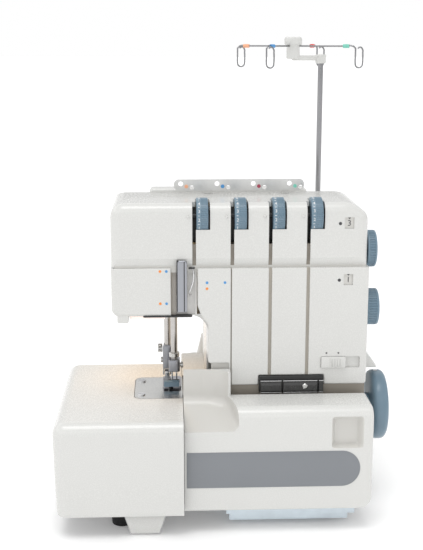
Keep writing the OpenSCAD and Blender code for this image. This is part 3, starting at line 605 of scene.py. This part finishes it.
# ---------------------------------------------------------------- face cover and take-up recess
face = prism("face_cover_shell", rounded([(-115.5, 205, 8), (-40, 205), (-40, 270), (-115.5, 270)]), "y",
             -85, 80, WHITE, 3.5, 3, 5)
cut(face, box("c", -57, 0, -100, 100, 190, 290, WHITE), box("c", -140, 0, -100, 100, 253.7, 290, WHITE),
    box("c", -113, -50, -82.5, 77.5, 207.5, 270, WHITE), box("c", -71, -50, -38, 12, 200, 212, WHITE),
    lathe("c", [(0.1, 200), (10, 200), (10, 212), (0.1, 212)], "z", (-88, 12), WHITE, 40))
edge(face, 0.5)
place(face, "machine", "white_plastic", "face_cover")
tab = prism("head_tab", rounded([(-110, 198.6, 1.5), (-98.8, 198.6, 1.5), (-98.8, 207), (-110, 207)]), "y",
            -84.2, -70, WHITE, 0.8, 0.5, 3)
place(tab, "machine", "white_plastic")
lens = box("lamp_lens", -98, -63, -78, -50, 200.8, 205.4, LENS, 0.6)
lens.visible_glossy = False
place(lens, "machine", "lamp_glass")
floor_back = box("head_floor", -58, -20.8, 20, 80, 205, 207.5, WHITE, 0.3)
place(floor_back, "machine", "white_plastic")
# Take-up recess liner in the brighter white, painted light against the shade under the head.
liner = prism("takeup_liner_lit", [(-57, -77), (-57, -75.5), (-31.5, -75.5), (-31.5, -81), (-33, -81),
                               (-33, -77)], "z", 206, 258,
              RECESS_LIT)
place(liner, "machine", "white_plastic")
# Grey-beige strip in the recess left of the thread guard: painted shade.
slot_dark = box("takeup_slot_shade", -57.4, -51.6, -80, -77.4, 205.6, 258, RECESS_GREY_SHADE, 0.8)
place(slot_dark, "machine", "dark_steel")
guard = prism("guard_channel", rounded([(-50.6, 210, 1.5), (-41.0, 210, 1.5), (-41.0, 262, 2.4),
                                        (-50.6, 262, 2.4)]), "y", -89,
              -86.6, GUARD, 1.1, 0.2, 4)
guard_l = prism("guard_flange", rounded([(-51.4, 211, 0.4), (-49.6, 211, 0.4), (-49.6, 262, 0.4),
                                         (-51.4, 262, 0.4)]), "y",
                -88.4, -85.2, DARKSTEEL, 0.3, 0.2, 2)
guard_r = prism("guard_fold", rounded([(-44.4, 211, 0.3), (-43.4, 211, 0.3), (-43.4, 261.4, 0.3),
                                       (-44.4, 261.4, 0.3)]), "y",
                -89.3, -88.8, DARKSTEEL, 0.1, 0, 2)
place(guard, "machine", "chrome", "needle_thread_guard")
place(guard_l, "machine", "chrome")
place(guard_r, "machine", "chrome")
takeup = wire("takeup_wire", [(-35.5, -84, 255), (-34.5, -85, 245), (-36.5, -85, 236), (-39, -84, 228),
                              (-37, -80, 226)],
              0.7, CHROME)
place(takeup, "machine", "chrome")
bracket = box("takeup_bracket", -39.6, -33.4, -86, -82, 253.2, 254.6, DARKSTEEL, 0.3)
place(bracket, "machine", "dark_steel")
for k, (x, z, m) in enumerate([(-67.5, 250.8, ORANGE), (-61.3, 250.8, SKY), (-67.5, 218.4, ORANGE),
                               (-61.3, 218.4, SKY),
                               (-21.6, 239.6, SKY), (-21.6, 233.6, ORANGE), (-4.0, 239.6, SKY),
                               (88.0, 0, None)]):
    if m:
        y = -85 if x < -57 else -87
        dot = lathe(f"mark_dot_{k + 1}", [(0.1, y - 0.15), (1.35, y - 0.1), (1.45, y + 0.1),
                                          (0.1, y + 0.1)], "y", (x, z), m, 24)
        place(dot, "machine", "white_plastic")
guide = prism("dark_guide_strip", rounded([(-84.5, -85.9, 2), (-36, -85.9, 2), (-36, -60, 1),
                                           (-84.5, -60, 1)]), "z", 204.6, 205.9,
              DARKSTEEL, 0.2, 0.2, 2)
place(guide, "machine", "dark_steel", "face_thread_guide")

# ---------------------------------------------------------------- scales, slider, guide block
for k, (y, z0, digit) in enumerate([(-85, 292, "3"), (-87, 236, "1")]):
    drum = prism(f"scale_drum_{k + 1}", rounded([(113.1, z0 + 0.1, 0), (121.9, z0 + 0.1, 0),
                                                 (121.9, z0 + 10.9, 0), (113.1, z0 + 10.9, 0)]),
                 "y", y + 1.5, y + 2.8, WHITE_DIM_SHADE)
    place(drum, "machine", "black_plastic")
    m = Matrix.Rotation(math.pi / 2, 4, "X")
    m.translation = Vector((117.5, y + 1.42, z0 + 5.0)) * MM
    place(label(f"scale_digit_{k + 1}", digit, 8.0, m, INK, 0.08), "machine", "black_plastic")
    tick = prism(f"scale_mark_{k + 1}", [(116.2, z0 + 10.7), (118.8, z0 + 10.7), (117.5, z0 + 9.2)], "y",
                 y + 0.9, y + 1.4, INK)
    place(tick, "machine", "black_plastic")
    dot = lathe(f"scale_dot_{k + 1}", [(0.1, y - 0.15), (1.6, y - 0.1), (1.7, y + 0.1), (0.1, y + 0.1)],
                "y", (108.5, z0 + 5.0), INK, 24)
    place(dot, "machine", "black_plastic")
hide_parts("scale_windows")
slider = prism("hem_slider", rounded([(92.2, 151.3, 1.2), (116.8, 151.3, 1.2), (116.8, 162.7, 1.2),
                                      (92.2, 162.7, 1.2)]), "y",
               -89.5, -84.1, WHITE, 0.8, 0, 3)
ribs = [box("r", 101 + 2.6 * k, 102.4 + 2.6 * k, -90.3, -89.2, 152.6, 161.4, WHITE, 0.3) for k in range(5)]
place(slider, "slider", "white_plastic", "plate_slider")
place(join("hem_slider_ribs", ribs), "slider", "white_plastic")
for k, x in enumerate((97.5, 109.5)):
    dot = lathe(f"slider_dot_{k + 1}", [(0.1, -87.15), (0.9, -87.1), (1.0, -86.9), (0.1, -86.9)], "y",
                (x, 166.5), INK, 20)
    place(dot, "machine", "black_plastic")

block_base = prism("guide_block_base",
                   rounded([(30, 127, 1.2), (95, 127, 1.2), (95, 143.9, 1.2), (30, 143.9, 1.2)]), "y", -89,
                   -79, BLACK, 0.8, 0, 3)
place(block_base, "machine", "black_plastic", "looper_guide_block")
for k, (a, b) in enumerate([(31.5, 52.6), (54.2, 88.4), (90, 94.6)]):
    bar = prism(f"guide_block_bar_{k + 1}",
                rounded([(a, 127.4, 0.8), (b, 127.4, 0.8), (b, 139.6, 0.8), (a, 139.6, 0.8)]), "y",
                -92, -88.8, GLOSS, 0.6, 0, 2)
    place(bar, "machine", "black_plastic")
    for q, (z0, z1) in enumerate([(127.1, 127.9), (139.4, 140.0)]):
        trim = box(f"guide_block_trim_{k + 1}_{q + 1}", a, b, -92.2, -91.4, z0, z1, CHROME, 0.1)
        place(trim, "machine", "chrome")
screw = lathe("guide_block_screw", [(0.1, -92.9), (2.0, -92.8), (2.6, -92.2), (2.6, -91.8), (0.1, -91.8)],
              "y", (76, 134), STEEL, 24)
place(screw, "machine", "steel")
# Brown-grey strip in the gap between the column and the looper cover: painted shadow.
gap = box("column_gap_shadow", 0.4, 136.6, -86.2, -84.6, 118, 134.2, SLOT_SHADE)
place(gap, "machine", "black_plastic")
# Darker white strip in the step beside the column foot: painted shade.
gap2 = box("column_step_shade", -17.6, 0.6, -84.5, -83, 130, 157.4, WHITE_DIM_SHADE)
place(gap2, "machine", "white_plastic")

# ---------------------------------------------------------------- thread guide strip
strip = prism("thread_strip", rounded([(-53, 320.5, 5), (81, 320.5, 5), (81, 332, 5), (-53, 332, 5)]), "y",
              -16, -14.6, SHEET)
holes = []
for k in range(4):
    holes.append(lathe("c", [(0.1, -20), (2.5, -20), (2.5, -10), (0.1, -10)], "y", (-46 + 37.3 * k, 327.5),
                       SHEET, 28))
    holes.append(lathe("c", [(0.1, -20), (2.2, -20), (2.2, -10), (0.1, -10)], "y",
                       (-34.5 + 37.3 * k, 323.6), SHEET, 28))
cut(strip, *holes)
edge(strip, 0.25)
feet_l = [prism("f", [(-14.5, 317.1), (-7, 317.1), (-7, 318.4), (-13.1, 318.4), (-13.1, 324), (-14.5, 324)],
                "x", x, x + 8, WHITE)
          for x in (-22, 58)]
place(strip, "machine", "steel", "thread_guide_plate")
place(join("thread_strip_feet", feet_l), "machine", "white_plastic")
for k, m in enumerate((PEACH, SKY, MAROON, MINT)):
    dot = lathe(f"strip_dot_{k + 1}", [(0.1, -16.2), (1.9, -16.15), (2.0, -15.9), (0.1, -15.9)], "y",
                (-40.2 + 37.3 * k, 324.8), m, 20)
    place(dot, "machine", "steel")

# ---------------------------------------------------------------- antenna
hub = lathe("guide_hub", [(0.2, 451), (6.6, 451), (7.4, 451.8), (7.3, 464), (7.6, 466), (9.2, 466.4),
                          (9.8, 467.4), (9.8, 472.2), (9.0, 474.2), (7.0, 475), (0.2, 475)], "z", (81, 100), WHITE, 48)
arm = prism("guide_arm", rounded([(80, 96.5, 2), (116, 96.5, 3.4), (116, 103.5, 3.4), (80, 103.5, 2)]), "z",
            449.2, 454.8, WHITE, 1, 1, 3)
collar = lathe("guide_collar", [(0.2, 446.2), (5.2, 446.2), (6, 447), (6, 455.2), (5.2, 456), (0.2, 456)],
               "z", (112, 100), WHITE, 40)
place(hub, "head", "white_plastic", "guide_head")
place(arm, "head", "white_plastic")
place(collar, "head", "white_plastic")
HOOKS = [(21, 126, PEACH), (48, 62, SKY), (113, 138, RED), (146, 73, MINT)]
for k, (x, y, m) in enumerate(HOOKS):
    d = Vector((x - 81, y - 100, 0))
    dist = d.length
    d.normalize()
    z = 465.0
    pts = [(81 + d.x * 6.5, 100 + d.y * 6.5, z)]
    for t in (0.35, 0.6, 0.82):
        pts.append((81 + d.x * dist * t, 100 + d.y * dist * t, z))
    w = wire(f"hook_arm_{k + 1}", pts + [(x - d.x * 3, y - d.y * 3, z), (x, y, z - 2.5)], 0.9, POLE)
    loop = []
    for q in range(9):
        a = math.pi * q / 8
        loop.append((x + 4 - 4 * math.cos(a), y, z - 19 - 4 * math.sin(a)))
    tail = [(x + 8, y, z - 8), (x + 7.6, y, z - 3.5), (x + 5.4, y, z - 1.2), (x + 2.2, y, z - 2.4)]
    loop_w = wire(f"hook_loop_{k + 1}", [(x, y, z - 2), (x, y, z - 10)] + loop + tail, 0.85, POLE)
    place(w, "head", "chrome")
    place(loop_w, "head", "chrome")
    mid = Vector((81, 100, z)) + d * (dist - 10.5)
    sl = lathe(f"hook_sleeve_{k + 1}", [(0.95, -3.5), (2.0, -3.3), (2.1, 0), (2.0, 3.3), (0.95, 3.5)], "z",
               (0, 0), m, 24)
    sl.data.transform(Matrix.Translation(mid * MM) @ d.to_track_quat("Z", "Y").to_matrix().to_4x4())
    place(sl, "head", "sleeve_plastic")
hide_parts("guide_hooks")
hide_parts("hook_sleeves")

# ---------------------------------------------------------------- needle and foot group
nb = lathe("needle_bar_rod", [(0.2, 136), (3.5, 136), (3.5, 283.2), (2.7, 284), (0.2, 284)], "z",
           (-54, -28), BAR, 40)
ng = lathe("needle_bar_guide", [(3.5, 147), (5.0, 147), (5.5, 147.5), (5.5, 151.5), (5.0, 152), (3.5, 152)],
           "z", (-54, -28), STEEL, 40)
nc = prism("needle_clamp_block", rounded([(-60, -35, 1.5), (-48, -35, 3), (-48, -21, 3), (-60, -21, 1.5)]),
           "z", 132.1, 145, GUARD, 0.8, 0.8, 3)
ns = lathe("needle_clamp_screw", [(0.2, -44.6), (2.6, -44.6), (3.3, -45.2), (3.3, -47), (2.2, -47.2),
                                  (2.2, -48), (0.2, -48)], "x", (-28, 138), STEEL, 24)
place(nb, "needle_drive", "chrome", "needle_bar")
place(ng, "needle_drive", "steel")
place(nc, "needle_drive", "steel", "needle_clamp")
place(ns, "needle_drive", "steel")
pb = lathe("presser_bar_rod", [(0.2, 150), (3.5, 150), (3.5, 299.4), (2.8, 300), (0.2, 300)], "z",
           (-61, -12), BAR, 40)
fh = prism("foot_ankle", rounded([(-66, 130, 1), (-57, 130, 1), (-57, 152, 1), (-58, 156, 1), (-65, 156, 1),
                                  (-66, 152, 1)]), "y", -17, -7,
           GUARD, 0.7, 0.7, 2)
lugs = [prism("l", rounded([(-16, 122.5, 3), (-8, 122.5, 3), (-8, 130.2), (-16, 130.2)]), "x", a, b, STEEL,
              0.2, 0.2, 1)
        for a, b in ((-66, -64.4), (-58.6, -57))]
ts = ribbed_wheel("foot_thumbscrew", "x", (-12, 152), -71, -66.4, 4.5, 14, 0.5, -70.6, -67.4, STEEL,
                  "presser", "presser_screw", 0.4)
s2 = lathe("foot_set_screw", [(0.2, -68.4), (2.4, -68.4), (3.0, -67.8), (3.0, -66), (0.2, -66)], "x",
           (-12, 139), STEEL, 20)
place(pb, "presser", "chrome", "presser_bar")
place(fh, "presser", "steel", "foot_holder")
place(join("foot_ankle_lugs", lugs), "presser", "steel")
place(s2, "presser", "steel")
foot = prism("foot_sole", rounded([(-66, -46, 2.5), (-47, -46, 2.5), (-47, -10, 1), (-66, -10, 1)]), "z",
             117.3, 119.9, GUARD, 0, 0.6, 2)
cut(foot, box("c", -60, -48.5, -33, -22, 110, 125, STEEL), box("c", -60, -55.5, -60, -38, 110, 125, STEEL))
edge(foot, 0.2)
toe = prism("foot_toe", [(-46, 119.6), (-38, 119.6), (-38, 123.5), (-41, 125.2), (-44.5, 124.2)], "x", -65,
            -49, BLUE, 0.5, 0.5, 2)
place(foot, "foot", "steel", "presser_foot")
place(toe, "foot", "blue_plastic")
neck = prism("foot_neck", rounded([(-15.6, 119.6), (-10, 119.6), (-8.4, 126, 3.4), (-12, 129.6, 3.4),
                                   (-15.6, 126, 3.4)]), "x", -64, -59, STEEL, 0.3, 0.3, 2)
place(neck, "foot", "steel")

# ---------------------------------------------------------------- base, rear, spool stand
spool = prism("spool_stand_tray", rounded([(-43, 85), (160, 85), (160, 150, 16), (-43, 150, 16)]), "z", 80,
              99, WHITE, 3, 3, 4)
place(spool, "machine", "white_plastic", "spool_stand")
rim = [lathe(f"spool_seat_{k + 1}", [(3.1, 99), (19, 99), (19, 99.6), (18, 100.2), (3.1, 100.2)], "z", p,
             WHITE_DIM_SHADE, 40)
       for k, p in enumerate([(-12, 122), (32, 106), (80, 122), (143, 122)])]
for r in rim:
    place(r, "machine", "white_plastic")
rear = prism("rear_shell", rounded([(-45.4, 25, 2), (137, 25, 4), (137, 253.7, 2), (-115.5, 253.7, 2),
                                    (-115.5, 205, 8), (-20.5, 205, 16),
                                    (-20.5, 117, 1), (-45.4, 117, 2)]), "y", 80.3, 85, WHITE, 0, 1.6, 3)
vents = [prism("c", rounded([(40, z, 1.2), (100, z, 1.2), (100, z + 2.6, 1.2), (40, z + 2.6, 1.2)]), "y",
               76, 90, WHITE)
         for z in (160, 167, 174, 181, 188)]
cut(rear, *vents)
edge(rear, 0.4)
place(rear, "machine", "white_plastic", "rear_cover")
ears = [prism(f"lifter_ear_{k + 1}", rounded([(85, 229), (95, 229, 4), (95, 241, 4), (85, 241)]), "x", x,
              x + 3, WHITE, 0.5, 0.5, 2)
        for k, x in enumerate((-74, -59))]
for e in ears:
    place(e, "machine", "white_plastic")
pivot = lathe("lifter_pivot", [(0.2, -74.4), (2, -74.4), (2, -55.6), (0.2, -55.6)], "x", (90, 235), STEEL,
              24)
place(pivot, "machine", "steel")
lower = prism("lower_side_panel", rounded([(-84, 20, 3), (80, 20, 2), (80, 133.7, 2), (-84, 133.7, 3)]),
              "x", 132.2, 137, WHITE, 0, 1.6, 3)
cut(lower, box("c", 120, 150, 54, 70, 72, 95, WHITE),
    lathe("c", [(0.1, 120), (8, 120), (8, 150), (0.1, 150)], "x", (-45, 98), WHITE, 40))
edge(lower, 0.4)
place(lower, "machine", "white_plastic", "side_cover")
shroud = prism("wheel_shroud", rounded([(137.9, 142.2), (154, 142.2, 0.8), (153.2, 145, 1), (141, 160.8, 2),
                                        (137.9, 160.8)]), "y", -60, -20,
               WHITE, 1.6, 1.6, 3)
place(shroud, "machine", "white_plastic", "handwheel_shroud")
bracket_foot = prism("bracket_foot", rounded([(-98, 1, 1.5), (-70, 1, 1.5), (-64, 20, 0), (-104, 20, 0)]),
                     "y", -140.2, -123.8, WHITE, 1.2, 1.2, 3)
place(bracket_foot, "machine", "white_plastic")

CAD_LOOKS = {
    CAST: ("base_frame", "arm_frame"),
    ZINC: ("base_plate",),
    RUBBER: ("feet", "drive_belt"),
    WHITE: ("bed_plate",),
    WHITE_DIM_SHADE: ("cone_holders",),
    BLACK: ("motor", "power_inlet", "power_switch"),
    BLUE: ("lifter_lever",),
    GLOW: ("lamp",),
    POLE: ("pole_tube", "pole_rod"),
    CHROME: ("needle_plate_screws", "needles"),
    DARKSTEEL: ("tension_shaft", "feed_dogs"),
    STEEL: ("cover_screws", "needle_plate", "lower_knife", "spool_pins", "main_shaft", "shaft_pulley",
            "motor_pulley", "upper_looper", "lower_looper", "upper_knife", "cover_hinge_bar"),
}
for node, m in [(name, look) for look, names in CAD_LOOKS.items() for name in names]:
    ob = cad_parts[node]
    ob.data.materials.clear()
    ob.data.materials.append(m)

# ---------------------------------------------------------------- floor, light and camera
bm = bmesh.new()
bmesh.ops.create_grid(bm, x_segments=1, y_segments=1, size=30)
FLOOR = material("floor_white", (0.93, 0.93, 0.93), 0.6, vary=0.005, bump=0.0, scale=2, spec=0.2,
                 emit=((1.0, 1.0, 1.0), 0.12))
floor = new_object("floor", bm, FLOOR)

SKY_FILL = 0.93
world = bpy.data.worlds.new("studio")
bpy.context.scene.world = world
world.use_nodes = True
wn = world.node_tree
sky = wn.nodes["Background"]
sky.inputs["Strength"].default_value = 1.0
coord = wn.nodes.new("ShaderNodeTexCoord")
split = wn.nodes.new("ShaderNodeSeparateXYZ")
wn.links.new(coord.outputs["Generated"], split.inputs["Vector"])
height = wn.nodes.new("ShaderNodeValToRGB")
GLOSSY_SKY = ((0.0, 0.75), (0.10, 0.9), (0.30, 0.42), (0.36, 1.5), (0.62, 1.5), (0.70, 0.6), (1.0, 1.0))
stops = height.color_ramp.elements
for pos, val in GLOSSY_SKY[1:-1]:
    stops.new(pos)
for stop, (pos, val) in zip(stops, GLOSSY_SKY):
    stop.color = (val, val, val, 1)
wn.links.new(split.outputs["Z"], height.inputs["Fac"])
side = wn.nodes.new("ShaderNodeMapRange")
side.inputs["From Min"].default_value = -1
side.inputs["To Min"].default_value = 1.25
side.inputs["To Max"].default_value = 0.45
wn.links.new(split.outputs["X"], side.inputs["Value"])
shade = wn.nodes.new("ShaderNodeMath")
shade.operation = "MULTIPLY"
wn.links.new(height.outputs["Color"], shade.inputs[0])
wn.links.new(side.outputs["Result"], shade.inputs[1])
path = wn.nodes.new("ShaderNodeLightPath")
pick = wn.nodes.new("ShaderNodeMix")
fill = wn.nodes.new("ShaderNodeMath")
fill.operation = "MULTIPLY_ADD"
fill.inputs[1].default_value = 1 - SKY_FILL
fill.inputs[2].default_value = SKY_FILL
wn.links.new(path.outputs["Is Camera Ray"], fill.inputs[0])
wn.links.new(fill.outputs["Value"], pick.inputs["A"])
wn.links.new(path.outputs["Is Glossy Ray"], pick.inputs["Factor"])
wn.links.new(shade.outputs["Value"], pick.inputs["B"])
wn.links.new(pick.outputs["Result"], sky.inputs["Color"])


def area(name, loc, target, size, power, color=(1, 1, 1)):
    li = bpy.data.lights.new(name, "AREA")
    li.shape = "RECTANGLE"
    li.size, li.size_y = size
    li.energy = power
    li.color = color
    ob = bpy.data.objects.new(name, li)
    ob.location = loc
    ob.rotation_euler = (Vector(target) - Vector(loc)).to_track_quat("-Z", "Y").to_euler()
    ob.visible_glossy = False
    bpy.context.scene.collection.objects.link(ob)


SUN_STRENGTH = 0.95
SUN_DIRECTION = (0.10, 0.24, -0.95)
sun = bpy.data.lights.new("sun", "SUN")
sun.energy = SUN_STRENGTH
sun.angle = math.radians(30)
sun_ob = bpy.data.objects.new("sun", sun)
sun_ob.rotation_euler = Vector(SUN_DIRECTION).to_track_quat("-Z", "Y").to_euler()
bpy.context.scene.collection.objects.link(sun_ob)
area("lamp_glow", (-0.082, 0.012, 0.200), (-0.075, -0.01, 0.117), (0.016, 0.016), 0.045, (1.0, 0.66, 0.34))

CAMERA_PLACE = (-0.0586, -1.095, 0.471)
CAMERA_PITCH, CAMERA_YAW = 12.5, 2.35
CAMERA_LENS, CAMERA_SENSOR = 69.251, 36
cam_data = bpy.data.cameras.new("camera")
cam_data.sensor_fit = "AUTO"
cam_data.sensor_width = CAMERA_SENSOR
cam_data.lens = CAMERA_LENS
cam_data.clip_end = 60
cam = bpy.data.objects.new("camera", cam_data)
cam.location = CAMERA_PLACE
cam.rotation_euler = (math.radians(90 - CAMERA_PITCH), 0, math.radians(-CAMERA_YAW))
bpy.context.scene.collection.objects.link(cam)
bpy.context.scene.camera = cam
bpy.context.scene.view_settings.view_transform = "Standard"
